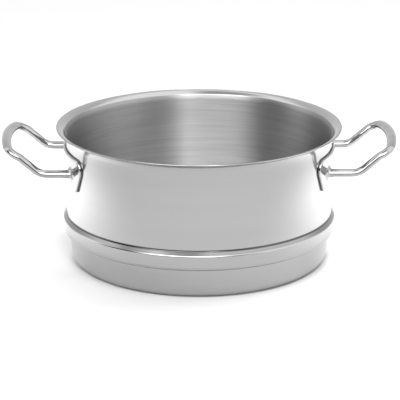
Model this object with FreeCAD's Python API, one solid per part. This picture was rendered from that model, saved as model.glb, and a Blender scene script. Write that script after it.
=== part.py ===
"""Open stainless kettle with two welded loop handles, in millimetres.

A deep-drawn shell has a flared rim, a rolled bead and a stepped foot that
drops into a matching rim below it. Each side carries one curved saddle plate,
projection-welded to the wall, and one bent oval bar welded to that plate.
+X runs through the handles, +Z is up, and the origin is the centre of the
base, on the surface that the kettle stands on.
"""
import FreeCAD, Part
import math
import os

Vector = FreeCAD.Vector
ORIGIN = Vector(0, 0, 0)
UP = Vector(0, 0, 1)

# Shell: outer surface radii and heights
SHEET = 1.0
WALL_R = 121.0
RIM_R = 129.2
RIM_TOP_Z = 123.3
RIM_BEND_R = 7.9
FOOT_BASE_R = 117.2
FOOT_TOP_R = 119.0
FOOT_TOP_Z = 26.4
BASE_CORNER_R = 7.0
BEAD_R = 124.6
BEAD_LOW_R = 124.1
BEAD_TOP_Z = 40.3
BEAD_LOW_CORNER_R = 4.0
SMALL_BEND_R = 0.8
SHELF_TOP_BEND_R = 1.5

# Handle bar: oval section, level arms, a rising slope that flattens out, and a bowed grip
BAR_WIDTH = 9.2
BAR_THICK = 7.0
ARM_Z = 90.8
ARM_HALF_SPACING = 46.2
TILT_DEG = 41.0
BEND_X = 141.6
BEND_R = 17.0
SLOPE_RUN = 15.8
FLATTEN_DEG = 13.0
FLATTEN_R = 10.0
GRIP_CORNER_R = 11.2
GRIP_BOW_DEG = 13.5
BAR_ROUGH_START_X = 100.0

# Saddle plate: a trapezoid wrapped round the wall
PLATE_GAP = 0.3
PLATE_THICK = 2.0
PLATE_TOP_Z = 106.6
PLATE_BOTTOM_Z = 76.2
PLATE_TOP_HALF_ARC = 74.0
PLATE_BOTTOM_HALF_ARC = 58.5
PLATE_TOP_CORNER_R = 10.0
PLATE_BOTTOM_CORNER_R = 4.0
PLATE_EDGE_ROUND = 0.6

# Weld metal
FILLET_LEG = 2.2
FILLET_TIP = 0.1
NUGGET_R = 3.0
NUGGET_ARCS = (-60.0, -20.0, 20.0, 60.0)
NUGGET_Z = 98.0
LOWER_NUGGET_ARCS = (-48.0, 0.0, 48.0)
LOWER_NUGGET_Z = 81.5

PLATE_INNER_R = WALL_R + PLATE_GAP
PLATE_OUTER_R = PLATE_INNER_R + PLATE_THICK


def turned_path(points, radii):
    """Edges through (radius, height) points, with each inner corner rounded to its radius."""
    corners = [Vector(r, 0, z) for r, z in points]
    edges = []
    start = corners[0]
    for before, corner, after, radius in zip(corners, corners[1:], corners[2:], radii):
        back = (before - corner).normalize()
        ahead = (after - corner).normalize()
        half_angle = back.getAngle(ahead) / 2
        setback = radius / math.tan(half_angle)
        bisector = (back + ahead).normalize()
        centre = corner + bisector * (radius / math.sin(half_angle))
        arc_start = corner + back * setback
        arc_end = corner + ahead * setback
        edges.append(Part.makeLine(start, arc_start))
        edges.append(Part.Arc(arc_start, centre - bisector * radius, arc_end).toShape())
        start = arc_end
    edges.append(Part.makeLine(start, corners[-1]))
    return edges


def offset_points(points, distance):
    """Points of the same outline moved sideways by distance, to the left of its direction."""
    directions = []
    for (r0, z0), (r1, z1) in zip(points, points[1:]):
        length = math.hypot(r1 - r0, z1 - z0)
        directions.append(((r1 - r0) / length, (z1 - z0) / length))
    directions = [directions[0]] + directions + [directions[-1]]
    moved = []
    for (r, z), before, after in zip(points, directions, directions[1:]):
        normal_r = -(before[1] + after[1])
        normal_z = before[0] + after[0]
        scale = distance / (1 + before[0] * after[0] + before[1] * after[1])
        moved.append((r + normal_r * scale, z + normal_z * scale))
    return moved


def vessel_shell():
    """Drawn shell: flat base, tapered foot, bead, straight wall and flared rim, one sheet thick."""
    outer = [
        (0, 0),
        (FOOT_BASE_R, 0),
        (FOOT_TOP_R, FOOT_TOP_Z),
        (BEAD_LOW_R, FOOT_TOP_Z),
        (BEAD_R, BEAD_TOP_Z),
        (WALL_R, BEAD_TOP_Z + BEAD_R - WALL_R),
        (WALL_R, RIM_TOP_Z - SHEET),
        (RIM_R - SHEET / 2, RIM_TOP_Z - SHEET),
    ]
    # A left turn, seen along the outline, is tighter on the inside of the sheet.
    outer_radii = [
        BASE_CORNER_R,
        SMALL_BEND_R,
        BEAD_LOW_CORNER_R,
        SMALL_BEND_R + SHEET,
        SHELF_TOP_BEND_R,
        RIM_BEND_R,
    ]
    inner_radii = [
        BASE_CORNER_R - SHEET,
        SMALL_BEND_R + SHEET,
        BEAD_LOW_CORNER_R - SHEET,
        SMALL_BEND_R,
        SHELF_TOP_BEND_R + SHEET,
        RIM_BEND_R + SHEET,
    ]
    inner = offset_points(outer, SHEET)
    outer_edges = turned_path(outer, outer_radii)
    inner_edges = turned_path(inner, inner_radii)
    lip = Part.Arc(
        Vector(RIM_R - SHEET / 2, 0, RIM_TOP_Z - SHEET),
        Vector(RIM_R, 0, RIM_TOP_Z - SHEET / 2),
        Vector(RIM_R - SHEET / 2, 0, RIM_TOP_Z),
    ).toShape()
    axis = Part.makeLine(ORIGIN, Vector(0, 0, SHEET))
    edges = outer_edges + [lip] + inner_edges + [axis]
    section = Part.Face(Part.Wire(Part.__sortEdges__(edges)))
    return section.revolve(ORIGIN, UP, 360)


class BentBar:
    """An oval bar grown piece by piece from its start, with straight runs and round bends."""

    def __init__(self, start, direction, thin_axis):
        self.end = start
        self.direction = direction
        self.thin_axis = thin_axis
        self.pieces = []

    def section(self):
        wide_axis = self.thin_axis.cross(self.direction)
        oval = Part.Ellipse(
            self.end + wide_axis * (BAR_WIDTH / 2),
            self.end + self.thin_axis * (BAR_THICK / 2),
            self.end,
        )
        return Part.Face(Part.Wire(oval.toShape()))

    def run(self, length):
        self.pieces.append(self.section().extrude(self.direction * length))
        self.end = self.end + self.direction * length

    def bend(self, hinge_axis, radius, degrees):
        """Turn by degrees about hinge_axis, right-handed, along an arc of the given radius."""
        centre = self.end + hinge_axis.cross(self.direction) * radius
        self.pieces.append(self.section().revolve(centre, hinge_axis, degrees))
        turn = FreeCAD.Rotation(hinge_axis, degrees)
        self.end = centre + turn.multVec(self.end - centre)
        self.direction = turn.multVec(self.direction)
        self.thin_axis = turn.multVec(self.thin_axis)

    def shape(self):
        return self.pieces[0].multiFuse(self.pieces[1:]).removeSplitter()


def handle_bar():
    """Right-hand handle: level arms, an upward bend, a flatter top and a grip bowed outwards."""
    # Both arms start inside the wall and are trimmed back to the plate's outer face.
    arm_run = BEND_X - BEND_R * math.tan(math.radians(TILT_DEG) / 2) - BAR_ROUGH_START_X
    bow = math.radians(GRIP_BOW_DEG)
    bow_half_width = ARM_HALF_SPACING - GRIP_CORNER_R * (1 - math.sin(bow))
    bow_radius = bow_half_width / math.sin(bow)
    across = Vector(0, 1, 0)
    bar = BentBar(Vector(BAR_ROUGH_START_X, -ARM_HALF_SPACING, ARM_Z), Vector(1, 0, 0), UP)
    bar.run(arm_run)
    bar.bend(-across, BEND_R, TILT_DEG)
    bar.run(SLOPE_RUN)
    bar.bend(across, FLATTEN_R, FLATTEN_DEG)
    grip_normal = bar.thin_axis
    bar.bend(grip_normal, GRIP_CORNER_R, 90 - GRIP_BOW_DEG)
    bar.bend(grip_normal, bow_radius, 2 * GRIP_BOW_DEG)
    bar.bend(grip_normal, GRIP_CORNER_R, 90 - GRIP_BOW_DEG)
    bar.bend(-across, FLATTEN_R, FLATTEN_DEG)
    bar.run(SLOPE_RUN)
    bar.bend(across, BEND_R, TILT_DEG)
    bar.run(arm_run)
    return bar.shape().cut(plate_cylinder())


def plate_cylinder():
    """Solid cylinder that the outer face of both saddle plates lies on."""
    return Part.makeCylinder(PLATE_OUTER_R, RIM_TOP_Z)


def wall_ring(inner_radius, outer_radius, low_z, high_z):
    """Closed ring round the wall between two radii and two heights."""
    base = Vector(0, 0, low_z)
    outside = Part.makeCylinder(outer_radius, high_z - low_z, base)
    inside = Part.makeCylinder(inner_radius, high_z - low_z, base)
    return outside.cut(inside)


def point_on_wall(radius, arc, z):
    """Point at this radius, with arc measured along the plate's outer face from the +X side."""
    angle = arc / PLATE_OUTER_R
    return Vector(radius * math.cos(angle), radius * math.sin(angle), z)


def saddle_plate():
    """Right-hand plate: a rounded trapezoid cut from a ring, with softened outer edges."""
    wedge_reach = 2 * WALL_R
    outline = [
        (PLATE_BOTTOM_HALF_ARC, PLATE_BOTTOM_Z),
        (PLATE_TOP_HALF_ARC, PLATE_TOP_Z),
        (-PLATE_TOP_HALF_ARC, PLATE_TOP_Z),
        (-PLATE_BOTTOM_HALF_ARC, PLATE_BOTTOM_Z),
    ]
    near = Part.makePolygon([point_on_wall(1.0, arc, z) for arc, z in outline], True)
    far = Part.makePolygon([point_on_wall(wedge_reach, arc, z) for arc, z in outline], True)
    wedge = Part.makeLoft([near, far], True, True)
    ring = wall_ring(PLATE_INNER_R, PLATE_OUTER_R, PLATE_BOTTOM_Z, PLATE_TOP_Z)
    plate = ring.common(wedge)
    plate = round_plate_corners(plate, True, PLATE_TOP_CORNER_R)
    plate = round_plate_corners(plate, False, PLATE_BOTTOM_CORNER_R)
    rim_edges = [edge for edge in plate.Edges if lies_on_radius(edge, PLATE_OUTER_R)]
    return plate.makeFillet(PLATE_EDGE_ROUND, rim_edges)


def lies_on_radius(edge, radius):
    """True when both ends and the middle of an edge are at this distance from the kettle's axis."""
    middle = edge.valueAt((edge.FirstParameter + edge.LastParameter) / 2)
    points = [vertex.Point for vertex in edge.Vertexes] + [middle]
    return all(abs(math.hypot(point.x, point.y) - radius) < 0.01 for point in points)


def round_plate_corners(plate, upper, radius):
    """Round the two upper or two lower corners, whose edges run through the plate's thickness."""
    middle_z = (PLATE_TOP_Z + PLATE_BOTTOM_Z) / 2
    through = []
    for edge in plate.Edges:
        ends = [math.hypot(vertex.Point.x, vertex.Point.y) for vertex in edge.Vertexes]
        crosses = len(ends) == 2 and abs(abs(ends[0] - ends[1]) - PLATE_THICK) < 0.01
        if crosses and (edge.CenterOfMass.z > middle_z) == upper:
            through.append(edge)
    return plate.makeFillet(radius, through)


def oval_wire(centre, half_width, half_height):
    """Upright oval in a plane across +X."""
    oval = Part.Ellipse(
        centre + Vector(0, half_width, 0),
        centre + Vector(0, 0, half_height),
        centre,
    )
    return Part.Wire(oval.toShape())


def weld_fillet(side):
    """Cone of weld metal round one arm, where it meets the plate; side is -1 or +1."""
    arm_y = side * ARM_HALF_SPACING
    root_x = math.sqrt(PLATE_OUTER_R**2 - ARM_HALF_SPACING**2)
    slant = ARM_HALF_SPACING / root_x * BAR_WIDTH / 2
    foot_x = root_x - slant - FILLET_LEG
    tip_x = root_x + slant + FILLET_LEG
    foot_growth = tip_x - foot_x - slant
    foot = oval_wire(
        Vector(foot_x, arm_y, ARM_Z), BAR_WIDTH / 2 + foot_growth, BAR_THICK / 2 + foot_growth
    )
    tip = oval_wire(
        Vector(tip_x, arm_y, ARM_Z), BAR_WIDTH / 2 + FILLET_TIP, BAR_THICK / 2 + FILLET_TIP
    )
    return Part.makeLoft([foot, tip], True, True)


def handle_weld_fillets(bar):
    """Two separate weld rings, cut clear of the plate and of the bar that they join."""
    rings = [weld_fillet(side).cut(plate_cylinder()).cut(bar) for side in (-1, 1)]
    return Part.makeCompound(rings)


def plate_weld_nuggets():
    """Small projection welds that bridge the gap between the wall and one plate."""
    gap = wall_ring(WALL_R, PLATE_INNER_R, 0, RIM_TOP_Z)
    places = [(arc, NUGGET_Z) for arc in NUGGET_ARCS]
    places += [(arc, LOWER_NUGGET_Z) for arc in LOWER_NUGGET_ARCS]
    nuggets = []
    for arc, z in places:
        outward = point_on_wall(1.0, arc, 0)
        spot = Part.makeCylinder(NUGGET_R, 10, point_on_wall(WALL_R - 5, arc, z), outward)
        nuggets.append(spot.common(gap))
    return Part.makeCompound(nuggets)


def mirrored(shape):
    """The same piece on the other side of the kettle."""
    return shape.mirror(ORIGIN, Vector(1, 0, 0))


def main():
    bar = handle_bar()
    one_side = {
        "handle_bar": bar,
        "saddle_plate": saddle_plate(),
        "handle_weld_fillets": handle_weld_fillets(bar),
        "plate_weld_nuggets": plate_weld_nuggets(),
    }
    nodes = {"vessel_shell": vessel_shell()}
    for name, shape in one_side.items():
        nodes[name + "_right"] = shape
        nodes[name + "_left"] = mirrored(shape)

    os.makedirs("parts", exist_ok=True)
    for name, shape in nodes.items():
        shape.exportStep(f"parts/{name}.step")
        box = shape.BoundBox
        sizes = f"{box.XLength:.1f} x {box.YLength:.1f} x {box.ZLength:.1f}"
        state = f"{len(shape.Solids)} solid(s), valid {shape.isValid()}"
        print(f"{name}: {state}, {sizes} mm, {shape.Volume:.0f} mm3")


main()
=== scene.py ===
"""Open stainless kettle with two welded loop handles, dressed and lit in a white studio."""
import math

import bmesh
import bpy
from mathutils import Matrix, Vector


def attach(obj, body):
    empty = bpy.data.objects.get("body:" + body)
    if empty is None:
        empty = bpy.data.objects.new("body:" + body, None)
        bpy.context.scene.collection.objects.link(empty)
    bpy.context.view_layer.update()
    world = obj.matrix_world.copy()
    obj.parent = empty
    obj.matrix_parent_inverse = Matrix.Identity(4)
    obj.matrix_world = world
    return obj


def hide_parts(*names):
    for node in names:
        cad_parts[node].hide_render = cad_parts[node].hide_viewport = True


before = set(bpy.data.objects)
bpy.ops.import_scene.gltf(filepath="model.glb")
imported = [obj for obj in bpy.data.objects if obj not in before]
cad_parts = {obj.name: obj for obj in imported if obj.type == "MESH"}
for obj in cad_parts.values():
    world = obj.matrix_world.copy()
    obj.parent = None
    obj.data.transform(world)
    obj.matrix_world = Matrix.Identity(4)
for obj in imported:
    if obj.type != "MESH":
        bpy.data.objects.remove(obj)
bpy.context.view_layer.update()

MM = 0.001

# Shell, in millimetres: the same outline as the frame's shell
SHEET = 1.0
WALL_R = 121.0
RIM_R = 129.2
RIM_TOP_Z = 123.3
RIM_BEND_R = 7.9
FOOT_BASE_R = 117.2
FOOT_TOP_R = 119.0
FOOT_TOP_Z = 26.4
BASE_CORNER_R = 7.0
BEAD_R = 124.6
BEAD_LOW_R = 124.1
BEAD_TOP_Z = 40.3
BEAD_LOW_CORNER_R = 4.0
SMALL_BEND_R = 0.8
SHELF_TOP_BEND_R = 1.5
SHELF_TOP_Z = BEAD_TOP_Z + BEAD_R - WALL_R
POLISHED_LIP_WIDTH = 7.4
SHELL_SEGMENTS = 288
BEND_STEPS = 10

# Handle bar
BAR_WIDTH = 9.2
BAR_THICK = 7.0
ARM_Z = 90.8
ARM_HALF_SPACING = 46.2
TILT = math.radians(41.0)
BEND_X = 141.6
BEND_R = 17.0
SLOPE_RUN = 15.8
FLATTEN = math.radians(13.0)
FLATTEN_R = 10.0
GRIP_CORNER_R = 11.2
GRIP_BOW = math.radians(13.5)
BAR_SIDES = 48

# Saddle plate
PLATE_INNER_R = 121.3
PLATE_OUTER_R = 123.3
PLATE_TOP_Z = 106.6
PLATE_BOTTOM_Z = 76.2
PLATE_TOP_HALF_ARC = 74.0
PLATE_BOTTOM_HALF_ARC = 58.5
PLATE_TOP_CORNER_R = 10.0
PLATE_BOTTOM_CORNER_R = 4.0
PLATE_EDGE_ROUND = 1.1

# Weld bead round each arm
WELD_REACH = 3.0
WELD_HEIGHT = 2.6

# Camera
CAMERA_DISTANCE = 1.5629
CAMERA_ELEVATION = math.radians(18.047)
CAMERA_AZIMUTH = math.radians(-0.8)
AIM_Z = 0.05098
LENS = 153.0
SHIFT_X = 0.0024

# Room
ROOM_WHITE = 1.75
FLOOR_WHITE = 0.46
FLOOR_HALF_SIZE = 4000

# Lamps, in metres and watts
KEY_PLACE = (0.4, 0.1, 1.1)
KEY_POWER = 7.0
FRONT_PLACE = (0.1, -0.5, 1.0)
FRONT_AIM = (0, -0.2, 0)
FRONT_POWER = 3.0
SIDE_X = 0.29
SIDE_Y = 0.1
SIDE_HEIGHT = 0.5
SIDE_POWER = 0.8
SIDE_SPREAD_DEG = 50


# ---------------------------------------------------------------- mesh helpers

def new_piece(name, vertices, faces, materials, zones=None):
    """Smooth mesh piece from points in millimetres; zones gives each face's material number."""
    mesh = bpy.data.meshes.new(name)
    mesh.from_pydata([tuple(c * MM for c in v) for v in vertices], [], faces)
    for material in materials:
        mesh.materials.append(material)
    if zones is not None:
        mesh.polygons.foreach_set("material_index", zones)
    mesh.polygons.foreach_set("use_smooth", [True] * len(mesh.polygons))
    mesh.validate()
    piece = bpy.data.objects.new(name, mesh)
    bpy.context.scene.collection.objects.link(piece)
    return piece


def bridge(rings, closed=True):
    """Quads between rows of equal length; closed joins each row's last point to its first."""
    count = len(rings[0])
    faces = []
    for row in range(len(rings) - 1):
        for i in range(count if closed else count - 1):
            j = (i + 1) % count
            low, high = row * count, (row + 1) * count
            faces.append((low + i, low + j, high + j, high + i))
    return faces


def rounded_outline(points, radii, steps):
    """Points along an outline whose inner corners are rounded to the given radii."""
    corners = [Vector(p) for p in points]
    line = [corners[0]]
    for before, corner, after, radius in zip(corners, corners[1:], corners[2:], radii):
        back = (before - corner).normalized()
        ahead = (after - corner).normalized()
        half = back.angle(ahead) / 2
        bisector = (back + ahead).normalized()
        centre = corner + bisector * (radius / math.sin(half))
        start = corner + back * (radius / math.tan(half)) - centre
        end = corner + ahead * (radius / math.tan(half)) - centre
        sweep = math.pi - 2 * half
        for step in range(steps + 1):
            share = step / steps
            mix = start * math.sin((1 - share) * sweep) + end * math.sin(share * sweep)
            line.append(centre + mix / math.sin(sweep))
    line.append(corners[-1])
    return [tuple(p) for p in line]


def offset_points(points, distance):
    """The same outline moved sideways by distance, to the left of its direction."""
    ways = []
    for (r0, z0), (r1, z1) in zip(points, points[1:]):
        length = math.hypot(r1 - r0, z1 - z0)
        ways.append(((r1 - r0) / length, (z1 - z0) / length))
    ways = [ways[0]] + ways + [ways[-1]]
    moved = []
    for (r, z), before, after in zip(points, ways, ways[1:]):
        scale = distance / (1 + before[0] * after[0] + before[1] * after[1])
        moved.append((r - (before[1] + after[1]) * scale, z + (before[0] + after[0]) * scale))
    return moved


# ---------------------------------------------------------------- materials

class Wire:
    """A shader socket that can be used in sums; every operation adds one Math node."""

    def __init__(self, shader, socket):
        self.shader = shader
        self.socket = socket

    def _math(self, operation, first, second=None):
        values = {0: first} if second is None else {0: first, 1: second}
        return self.shader.node("ShaderNodeMath", {"operation": operation}, values)

    def __add__(self, other):
        return self._math("ADD", self, other)

    def __radd__(self, other):
        return self._math("ADD", other, self)

    def __sub__(self, other):
        return self._math("SUBTRACT", self, other)

    def __rsub__(self, other):
        return self._math("SUBTRACT", other, self)

    def __mul__(self, other):
        return self._math("MULTIPLY", self, other)

    def __rmul__(self, other):
        return self._math("MULTIPLY", other, self)

    def __truediv__(self, other):
        return self._math("DIVIDE", self, other)

    def __pow__(self, other):
        return self._math("POWER", self, other)


class Shader:
    """The node tree of a material or of the room, with the node that gives its surface."""

    def __init__(self, tree, surface="Principled BSDF"):
        self.tree = tree
        self.surface = tree.nodes[surface]

    def node(self, kind, settings=None, values=None, output=0):
        """Add a node, apply its settings, fill its sockets and return one of its outputs."""
        made = self.tree.nodes.new(kind)
        for key, value in (settings or {}).items():
            setattr(made, key, value)
        self.fill(made, values or {})
        return Wire(self, made.outputs[output])

    def fill(self, made, values):
        for key, value in values.items():
            if isinstance(value, Wire):
                self.tree.links.new(value.socket, made.inputs[key])
            else:
                made.inputs[key].default_value = value

    def finish(self, **values):
        """Set the surface's sockets, whose names have underscores for spaces."""
        self.fill(self.surface, {key.replace("_", " "): value for key, value in values.items()})

    def place(self):
        return self.node("ShaderNodeTexCoord", output="Object")

    def split(self, vector):
        first = self.node("ShaderNodeSeparateXYZ", values={0: vector})
        made = first.socket.node
        return first, Wire(self, made.outputs[1]), Wire(self, made.outputs[2])

    def join(self, x, y, z):
        return self.node("ShaderNodeCombineXYZ", values={0: x, 1: y, 2: z})

    def noise(self, vector, scale, detail=2.0, roughness=0.5):
        values = {"Vector": vector, "Scale": scale, "Detail": detail, "Roughness": roughness}
        return self.node("ShaderNodeTexNoise", values=values)

    def between(self, value, low, high, new_low=0.0, new_high=1.0):
        values = {"Value": value, "From Min": low, "From Max": high, "To Min": new_low, "To Max": new_high}
        return self.node("ShaderNodeMapRange", values=values)

    def band(self, value, rise_start, rise_end, fall_start, fall_end):
        """1 between rise_end and fall_start, 0 outside, with a ramp at each end."""
        return self.between(value, rise_start, rise_end) * self.between(value, fall_start, fall_end, 1.0, 0.0)

    def blend(self, factor, first, second):
        settings = {"data_type": "RGBA"}
        return self.node("ShaderNodeMix", settings, {0: factor, 6: first, 7: second}, output=2)

    def bump(self, height, distance, strength=1.0):
        values = {"Strength": strength, "Distance": distance, "Height": height}
        return self.node("ShaderNodeBump", values=values)


def grey(value):
    return (value, value, value, 1.0)


def new_material(name, describe):
    """Material whose nodes are laid by describe, which takes its shader."""
    material = bpy.data.materials.new(name)
    material.use_nodes = True
    describe(Shader(material.node_tree))
    return material


def polished_steel(s):
    """Bright buffed steel: a soft mirror, with painted shade darkening the bead's shelf and its two creases.
    """
    x, y, z = s.split(s.place())
    haze = s.noise(s.join(x, y, z * 12), 6.0, 2.0)
    waves = s.noise(s.join(x, y, z * 1.6), 9.0, 1.0)
    height = z / MM
    # Painted shade: dark bands in the crease above the bead's shelf and in the crease at the foot's top, plus
    # a darker shelf, stand in for shade and dim reflections there.
    shelf_crease_shade = s.band(height, SHELF_TOP_Z - 0.9, SHELF_TOP_Z - 0.4, SHELF_TOP_Z + 0.7, SHELF_TOP_Z + 1.3)
    foot_crease_shade = s.band(height, FOOT_TOP_Z - 0.8, FOOT_TOP_Z - 0.3, FOOT_TOP_Z + 0.2, FOOT_TOP_Z + 0.8)
    painted_shelf_shade = s.band(height, BEAD_TOP_Z + 0.1, BEAD_TOP_Z + 0.9, SHELF_TOP_Z - 0.9, SHELF_TOP_Z - 0.4)
    # Painted shade factor: 1 on plain steel, lower in the two creases and on the shelf; it darkens the base
    # colour.
    painted_shade_factor = 1 - shelf_crease_shade * 0.8 - foot_crease_shade * 0.35 - painted_shelf_shade * 0.35
    steel = s.blend(s.between(haze, 0.3, 0.7), grey(0.40), grey(0.42))
    s.finish(
        Base_Color=s.blend(painted_shade_factor, grey(0.0), steel),
        Metallic=1.0,
        Roughness=s.between(haze, 0.3, 0.7, 0.11, 0.13),
        Normal=s.bump(waves, 0.0004, 0.15),
    )


def brushed_inside(s):
    """Inside of the wall: fine level brush lines that run round the kettle."""
    x, y, z = s.split(s.place())
    fine = s.noise(s.join(x * 9, y * 9, z * 900), 1.0, 3.0, 0.6)
    broad = s.noise(s.join(x * 14, y * 14, z * 260), 1.0, 2.0)
    lines = fine * 0.6 + broad * 0.4
    s.finish(
        Base_Color=s.blend(s.between(lines, 0.35, 0.65), grey(0.33), grey(0.4)),
        Metallic=1.0,
        Roughness=s.between(lines, 0.3, 0.7, 0.42, 0.46),
        Anisotropic=0.95,
        Anisotropic_Rotation=0.25,
        Normal=s.bump(lines, 0.0001, 0.15),
    )


def brushed_floor(s):
    """Inside of the base: rings of brush lines round the middle."""
    x, y, z = s.split(s.place())
    radius = (x * x + y * y) ** 0.5
    fine = s.noise(s.join(x * 9, y * 9, radius * 900), 1.0, 3.0, 0.6)
    s.finish(
        Base_Color=s.blend(s.between(fine, 0.35, 0.65), grey(0.48), grey(0.58)),
        Metallic=1.0,
        Roughness=s.between(fine, 0.3, 0.7, 0.26, 0.36),
        Anisotropic=0.6,
        Anisotropic_Rotation=0.25,
        Normal=s.bump(fine, 0.0002, 0.3),
    )


def buffed_bar(s):
    """Handle bar: polished along its length, a little softer than the shell."""
    haze = s.noise(s.place(), 60.0, 3.0)
    s.finish(
        Base_Color=s.blend(s.between(haze, 0.35, 0.65), grey(0.34), grey(0.39)),
        Metallic=1.0,
        Roughness=s.between(haze, 0.3, 0.7, 0.05, 0.08),
    )


def weld_metal(s):
    """Buffed weld metal: lumpy, brighter on its crests."""
    lumps = s.noise(s.place(), 420.0, 3.0)
    s.finish(
        Base_Color=s.blend(s.between(lumps, 0.35, 0.65), grey(0.22), grey(0.50)),
        Metallic=1.0,
        Roughness=s.between(lumps, 0.3, 0.7, 0.12, 0.26),
        Normal=s.bump(lumps, 0.0006, 0.6),
    )


def studio_floor(s):
    """Plain white sheet, the same all over."""
    s.finish(Base_Color=grey(FLOOR_WHITE), Roughness=0.9)


# ---------------------------------------------------------------- pieces

def make_shell(outside, lip, inside, floor):
    """Turned shell, one sheet thick, with its finishes in zones."""
    outer = [
        (0, 0),
        (FOOT_BASE_R, 0),
        (FOOT_TOP_R, FOOT_TOP_Z),
        (BEAD_LOW_R, FOOT_TOP_Z),
        (BEAD_R, BEAD_TOP_Z),
        (WALL_R, SHELF_TOP_Z),
        (WALL_R, RIM_TOP_Z - SHEET),
        (RIM_R - SHEET / 2, RIM_TOP_Z - SHEET),
    ]
    outer_radii = [
        BASE_CORNER_R,
        SMALL_BEND_R,
        BEAD_LOW_CORNER_R,
        SMALL_BEND_R + SHEET,
        SHELF_TOP_BEND_R,
        RIM_BEND_R,
    ]
    inner_radii = [
        BASE_CORNER_R - SHEET,
        SMALL_BEND_R + SHEET,
        BEAD_LOW_CORNER_R - SHEET,
        SMALL_BEND_R,
        SHELF_TOP_BEND_R + SHEET,
        RIM_BEND_R + SHEET,
    ]
    inner = offset_points(outer, SHEET)
    outer_line = with_guards(rounded_outline(outer, outer_radii, BEND_STEPS))
    inner_line = with_guards(rounded_outline(inner, inner_radii, BEND_STEPS))
    edge = [
        (RIM_R - SHEET / 2 * (1 - math.sin(a)), RIM_TOP_Z - SHEET / 2 * (1 + math.cos(a)))
        for a in (math.pi * k / 8 for k in range(1, 8))
    ]
    line = outer_line[1:] + edge + inner_line[::-1][:-1]
    outside_count = len(outer_line) - 1 + len(edge) // 2
    rows = len(line)
    vertices = [(r * math.cos(t), r * math.sin(t), z) for r, z in line for t in circle(SHELL_SEGMENTS)]
    rings = [range(SHELL_SEGMENTS)] * rows
    faces = bridge(rings)
    zones = []
    for row in range(rows - 1):
        r = (line[row][0] + line[row + 1][0]) / 2
        z = (line[row][1] + line[row + 1][1]) / 2
        if row < outside_count:
            zone = 0
        elif r > RIM_R - POLISHED_LIP_WIDTH:
            zone = 1
        elif z > SHEET * 1.02 or r > FOOT_BASE_R - BASE_CORNER_R:
            zone = 2
        else:
            zone = 3
        zones += [zone] * SHELL_SEGMENTS
    under = len(vertices)
    vertices += [(0, 0, 0), (0, 0, SHEET)]
    last = (rows - 1) * SHELL_SEGMENTS
    for i in range(SHELL_SEGMENTS):
        j = (i + 1) % SHELL_SEGMENTS
        faces.append((under, j, i))
        faces.append((under + 1, last + i, last + j))
        zones += [0, 3]
    return new_piece("shell", vertices, faces, [outside, lip, inside, floor], zones)


def circle(count):
    return [2 * math.pi * k / count for k in range(count)]


def with_guards(line, gap=6.0):
    """Extra points along the long straight stretches, so that shading stays even."""
    dense = [line[0]]
    for (r0, z0), (r1, z1) in zip(line, line[1:]):
        pieces = max(1, math.ceil(math.hypot(r1 - r0, z1 - z0) / gap))
        for k in range(1, pieces + 1):
            dense.append((r0 + (r1 - r0) * k / pieces, z0 + (z1 - z0) * k / pieces))
    return dense


class BarPath:
    """Centre line of a bent bar with the section's thin axis, as a list of stations."""

    def __init__(self, start, direction, thin_axis):
        self.end = Vector(start)
        self.direction = Vector(direction)
        self.thin_axis = Vector(thin_axis)
        self.stations = []
        self.mark()

    def mark(self):
        self.stations.append((self.end.copy(), self.direction.copy(), self.thin_axis.copy()))

    def run(self, length, step=3.0):
        pieces = max(1, math.ceil(length / step))
        for _ in range(pieces):
            self.end += self.direction * (length / pieces)
            self.mark()

    def bend(self, hinge, radius, angle, steps=14):
        turn = Matrix.Rotation(angle / steps, 3, hinge)
        for _ in range(steps):
            centre = self.end + hinge.cross(self.direction) * radius
            self.end = centre + turn @ (self.end - centre)
            self.direction = turn @ self.direction
            self.thin_axis = turn @ self.thin_axis
            self.mark()


def bar_path():
    """Right-hand handle, from the near weld to the far one, with its roots inside the plate."""
    root_x = math.sqrt(PLATE_INNER_R**2 - ARM_HALF_SPACING**2) + 0.2
    level_run = BEND_X - BEND_R * math.tan(TILT / 2) - root_x
    corner = math.pi / 2 - GRIP_BOW
    bow_half_width = ARM_HALF_SPACING - GRIP_CORNER_R * (1 - math.sin(GRIP_BOW))
    across = Vector((0, 1, 0))
    path = BarPath((root_x, -ARM_HALF_SPACING, ARM_Z), (1, 0, 0), (0, 0, 1))
    path.run(level_run)
    path.bend(-across, BEND_R, TILT)
    path.run(SLOPE_RUN)
    path.bend(across, FLATTEN_R, FLATTEN)
    grip_normal = path.thin_axis.copy()
    path.bend(grip_normal, GRIP_CORNER_R, corner)
    path.bend(grip_normal, bow_half_width / math.sin(GRIP_BOW), 2 * GRIP_BOW, 30)
    path.bend(grip_normal, GRIP_CORNER_R, corner)
    path.bend(-across, FLATTEN_R, FLATTEN)
    path.run(SLOPE_RUN)
    path.bend(across, BEND_R, TILT)
    path.run(level_run)
    return path.stations


def make_handle_bar(name, side, steel):
    vertices = []
    stations = bar_path()
    for centre, direction, thin in stations:
        wide = thin.cross(direction)
        for t in circle(BAR_SIDES):
            point = centre + wide * (BAR_WIDTH / 2 * math.cos(t)) + thin * (BAR_THICK / 2 * math.sin(t))
            vertices.append((side * point.x, point.y, point.z))
    faces = bridge([range(BAR_SIDES)] * len(stations))
    last = (len(stations) - 1) * BAR_SIDES
    faces.append(tuple(range(BAR_SIDES))[::-1])
    faces.append(tuple(range(last, last + BAR_SIDES)))
    if side > 0:
        faces = [face[::-1] for face in faces]
    return new_piece(name, vertices, faces, [steel])


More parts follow.
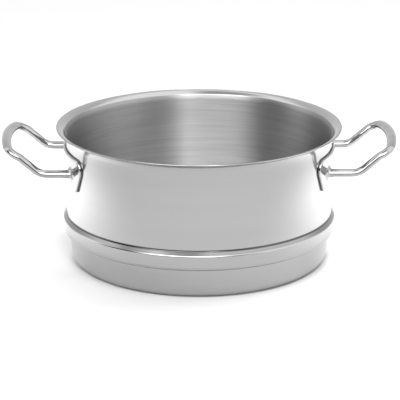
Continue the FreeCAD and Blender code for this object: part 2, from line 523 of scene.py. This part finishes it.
def plate_rows(inset):
    """Half arc and height of each row of the plate's outline, from the bottom to the top."""
    outline = [
        (0, PLATE_BOTTOM_Z + inset),
        (PLATE_BOTTOM_HALF_ARC, PLATE_BOTTOM_Z + inset),
        (PLATE_TOP_HALF_ARC, PLATE_TOP_Z - inset),
        (0, PLATE_TOP_Z - inset),
    ]
    rise = PLATE_TOP_Z - PLATE_BOTTOM_Z
    lean = (PLATE_TOP_HALF_ARC - PLATE_BOTTOM_HALF_ARC) / rise
    side_inset = inset * math.hypot(1, lean)
    outline[1] = (outline[1][0] - side_inset + inset * lean, outline[1][1])
    outline[2] = (outline[2][0] - side_inset - inset * lean, outline[2][1])
    radii = [PLATE_BOTTOM_CORNER_R - inset, PLATE_TOP_CORNER_R - inset]
    curve = rounded_outline(outline, radii, 12)[1:-1]
    low, high = curve[:13], curve[13:]
    (s0, z0), (s1, z1) = low[-1], high[0]
    middle = [(s0 + (s1 - s0) * k / 8, z0 + (z1 - z0) * k / 8) for k in range(1, 8)]
    return low + middle + high


def make_saddle_plate(name, side, steel):
    """Rounded trapezoid bent round the wall, closed, with softened edges."""
    columns = 60
    round_steps = 5
    layers = []
    for k in range(round_steps + 1):
        turn = math.pi / 2 * k / round_steps
        inset = PLATE_EDGE_ROUND * (1 - math.sin(turn))
        radius = PLATE_OUTER_R - PLATE_EDGE_ROUND * (1 - math.cos(turn))
        layers.append((inset, radius))
    layers.append((0.0, PLATE_INNER_R))

    def wrap(arc, z, radius):
        angle = arc / PLATE_OUTER_R
        return (side * radius * math.cos(angle), radius * math.sin(angle), z)

    def sheet(inset, radius):
        rows = plate_rows(inset)
        return [
            [wrap(half * (2 * i / columns - 1), z, radius) for i in range(columns + 1)]
            for half, z in rows
        ]

    def border(grid):
        right = [row[-1] for row in grid[1:]]
        left = [row[0] for row in grid[-2::-1]]
        return grid[0] + right + grid[-1][-2::-1] + left[:-1]

    front = sheet(*layers[0])
    back = sheet(*layers[-1])
    rows = len(front)
    width = columns + 1
    vertices = [p for row in front for p in row]
    faces = bridge([range(width)] * rows, closed=False)
    start = len(vertices)
    vertices += [p for row in back for p in row]
    faces += [tuple(start + i for i in face[::-1]) for face in bridge([range(width)] * rows, closed=False)]
    for outer, inner in zip(layers, layers[1:]):
        start = len(vertices)
        loop = border(sheet(*outer))
        vertices += loop + border(sheet(*inner))
        count = len(loop)
        for i in range(count):
            j = (i + 1) % count
            faces.append((start + i, start + count + i, start + count + j, start + j))
    if side < 0:
        faces = [face[::-1] for face in faces]
    plate = new_piece(name, vertices, faces, [steel])
    weld_doubles(plate)
    return plate


def weld_doubles(piece):
    mesh = bmesh.new()
    mesh.from_mesh(piece.data)
    bmesh.ops.remove_doubles(mesh, verts=mesh.verts, dist=1e-6)
    bmesh.ops.recalc_face_normals(mesh, faces=mesh.faces)
    mesh.to_mesh(piece.data)
    mesh.free()
    piece.data.polygons.foreach_set("use_smooth", [True] * len(piece.data.polygons))


def make_weld_bead(name, side, arm_side, steel):
    """Ring of weld metal round one arm, hollow in section and rippled along its length."""
    around, across = 96, 10
    vertices = []
    arm_y = arm_side * ARM_HALF_SPACING
    for t in circle(around):
        ripple = 1 + 0.10 * math.sin(9 * t + arm_side) + 0.05 * math.sin(17 * t + 2)
        for k in range(across + 1):
            turn = math.pi / 2 * k / across
            reach = WELD_REACH * ripple * (1 - math.sin(turn))
            height = WELD_HEIGHT * ripple * (1 - math.cos(turn))
            y = arm_y + (BAR_WIDTH / 2 + reach) * math.cos(t)
            z = ARM_Z + (BAR_THICK / 2 + reach) * math.sin(t)
            x = math.sqrt(PLATE_OUTER_R**2 - y * y) + height
            vertices.append((side * x, y, z))
        y = arm_y + (BAR_WIDTH / 2 - 0.5) * math.cos(t)
        z = ARM_Z + (BAR_THICK / 2 - 0.5) * math.sin(t)
        vertices.append((side * (math.sqrt(PLATE_OUTER_R**2 - y * y) + WELD_HEIGHT * ripple), y, z))
        vertices.append((side * (math.sqrt(PLATE_OUTER_R**2 - y * y) - 0.2), y, z))
    count = across + 3
    faces = []
    for i in range(around):
        j = (i + 1) % around
        for k in range(count):
            m = (k + 1) % count
            faces.append((i * count + k, i * count + m, j * count + m, j * count + k))
    bead = new_piece(name, vertices, faces, [steel])
    weld_doubles(bead)
    return bead


# ---------------------------------------------------------------- stage

def make_stage():
    size = FLOOR_HALF_SIZE
    corners = [(-size, -size, 0), (size, -size, 0), (size, size, 0), (-size, size, 0)]
    floor = new_piece("studio_floor", corners, [(0, 1, 2, 3)], [new_material("studio_white", studio_floor)])


def softbox(name, place, aim, width, height, power, spread=180):
    """Rectangular lamp at place, facing aim; a grid narrows its beam to spread degrees."""
    light = bpy.data.lights.new(name, "AREA")
    light.shape = "RECTANGLE"
    light.size = width
    light.size_y = height
    light.energy = power
    light.spread = math.radians(spread)
    lamp = bpy.data.objects.new(name, light)
    bpy.context.scene.collection.objects.link(lamp)
    lamp.location = place
    lamp.rotation_euler = (Vector(aim) - Vector(place)).to_track_quat("-Z", "Y").to_euler()
    lamp.visible_camera = False
    lamp.visible_glossy = False


def make_lights():
    """A high key box on the right, one in front, and a gridded one over the floor at each side."""
    softbox("key_box", KEY_PLACE, (0, 0, 0), 0.5, 0.5, KEY_POWER)
    softbox("front_box", FRONT_PLACE, FRONT_AIM, 0.5, 0.4, FRONT_POWER)
    for side, word in ((-1, "left"), (1, "right")):
        place = (side * SIDE_X, SIDE_Y, SIDE_HEIGHT)
        below = (side * SIDE_X, SIDE_Y, 0)
        softbox(f"side_box_{word}", place, below, 0.2, 0.3, SIDE_POWER, SIDE_SPREAD_DEG)


def make_world():
    """White room, dimmer behind, on the left and overhead; in front, a bright panel above a dark screen."""
    world = bpy.data.worlds.new("studio")
    bpy.context.scene.world = world
    world.use_nodes = True
    s = Shader(world.node_tree, "Background")
    x, y, z = s.split(s.node("ShaderNodeTexCoord", output="Generated"))
    across = (x * x + y * y + 0.0001) ** 0.5
    right = x / across
    back = y / across
    left_part = s.between(right, -0.60, -0.85, 0.0, 0.90) * s.between(back, -0.10, 0.10, 1.0, 0.0)
    back_part = s.between(back, 0.35, 0.60, 0.0, 0.45)
    overhead = s.between(z, 0.86, 0.94) * s.between(x, -0.05, 0.08, 1.0, 0.0)
    low = s.between(z, 0.70, 0.86, 1.0, 0.0)
    room = 1 - (left_part + back_part) * low - overhead * 0.6
    screen = s.between(z, 0.30, 0.42, 1.0, 0.0) * s.between(back, -0.80, -0.55, 1.0, 0.0)
    panel = s.band(z, 0.42, 0.55, 0.80, 0.90)
    middle = s.between(back + right * 0.3, -0.70, -0.92)
    streak = s.band(right, 0.10, 0.20, 0.22, 0.32) * middle
    strength = room * (1 - screen * 0.97) + panel * (middle * 3.1 + streak * 4.2)
    s.fill(s.surface, {"Color": grey(ROOM_WHITE), "Strength": strength})


def make_camera():
    camera = bpy.data.cameras.new("camera")
    camera.lens = LENS
    camera.sensor_width = 36
    camera.shift_x = SHIFT_X
    camera.clip_end = 20
    holder = bpy.data.objects.new("camera", camera)
    bpy.context.scene.collection.objects.link(holder)
    flat = CAMERA_DISTANCE * math.cos(CAMERA_ELEVATION)
    holder.location = (
        flat * math.sin(CAMERA_AZIMUTH),
        -flat * math.cos(CAMERA_AZIMUTH),
        AIM_Z + CAMERA_DISTANCE * math.sin(CAMERA_ELEVATION),
    )
    aim = Vector((0, 0, AIM_Z)) - holder.location
    holder.rotation_euler = aim.to_track_quat("-Z", "Y").to_euler()
    bpy.context.scene.camera = holder


def keep(piece, slot, *nodes):
    """Let a finished piece stand for its frame nodes."""
    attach(piece, "root")
    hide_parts(*nodes)


def main():
    bpy.context.scene.view_settings.view_transform = "Standard"
    polished = new_material("polished_steel", polished_steel)
    bar_steel = new_material("buffed_bar_steel", buffed_bar)
    weld = new_material("weld_steel", weld_metal)
    wall = new_material("brushed_steel_wall", brushed_inside)
    base = new_material("brushed_steel_floor", brushed_floor)
    shell = make_shell(polished, polished, wall, base)
    keep(shell, "polished_steel", "vessel_shell")
    for side, word in ((-1, "left"), (1, "right")):
        keep(make_handle_bar(f"handle_{word}", side, bar_steel), "polished_steel", f"handle_bar_{word}")
        keep(make_saddle_plate(f"plate_{word}", side, polished), "polished_steel", f"saddle_plate_{word}")
        for arm_side, place in ((-1, "near"), (1, "far")):
            bead = make_weld_bead(f"weld_{word}_{place}", side, arm_side, weld)
            keep(bead, "weld_steel", f"handle_weld_fillets_{word}")
        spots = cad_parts[f"plate_weld_nuggets_{word}"]
        spots.data.materials.clear()
        spots.data.materials.append(weld)
    make_stage()
    make_lights()
    make_world()
    make_camera()


main()
